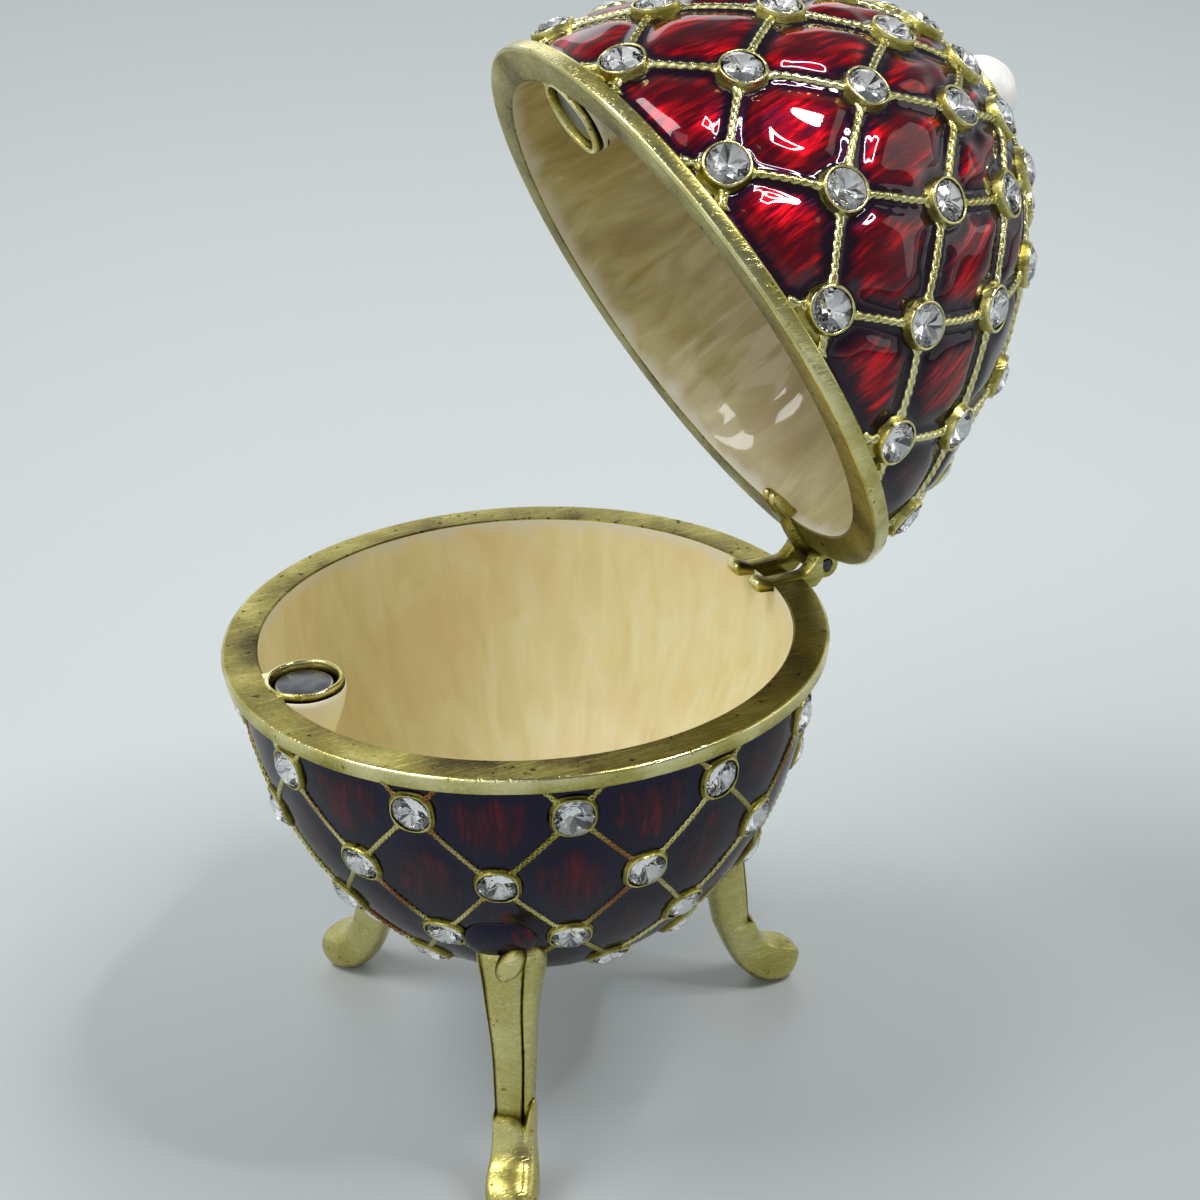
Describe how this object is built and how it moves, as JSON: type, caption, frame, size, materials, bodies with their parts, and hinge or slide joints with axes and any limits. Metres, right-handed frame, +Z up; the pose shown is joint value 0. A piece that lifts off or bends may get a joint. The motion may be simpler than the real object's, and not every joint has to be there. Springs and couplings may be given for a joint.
{
  "type": "jewelled egg trinket box",
  "caption": "Egg-shaped metal trinket box on cabriole legs, its hinged lid open, with a raised rope trellis of faceted stones over enamel and a pearl at the tip.",
  "frame": {"origin": "on the floor between the feet, below the middle of the open box; the bowl's own axis stands 10.6 mm in front of it, at -Y", "axes": "+Z up, +Y towards the hinge at the back, +X to the right seen from the front, along the hinge pin"},
  "size_m": [0.052, 0.0733, 0.0956],
  "materials": {
    "enamelled_casting": "glossy translucent wine enamel over an antique gilt zinc alloy casting",
    "gilt_metal": "antique gilt, worn bright on the edges",
    "magnet": "dull nickel-plated disc",
    "pearl": "imitation pearl with a soft gloss"
  },
  "bodies": {
    "base": {"bowl": "enamelled_casting", "bowl_knuckle_left": "gilt_metal", "bowl_knuckle_right": "gilt_metal", "bowl_magnet": "magnet", "hinge_pin": "gilt_metal"},
    "cover": {"lid": "enamelled_casting", "lid_hinge_leaf": "gilt_metal", "lid_magnet": "magnet", "pearl": "pearl"}
  },
  "joints": [
    {"name": "lid_hinge", "type": "hinge", "parent": "base", "child": "cover", "pos_m": [0, 0.01747, 0.0444], "axis": [-1, 0, 0], "range_deg": [-62.75, 27]}
  ]
}
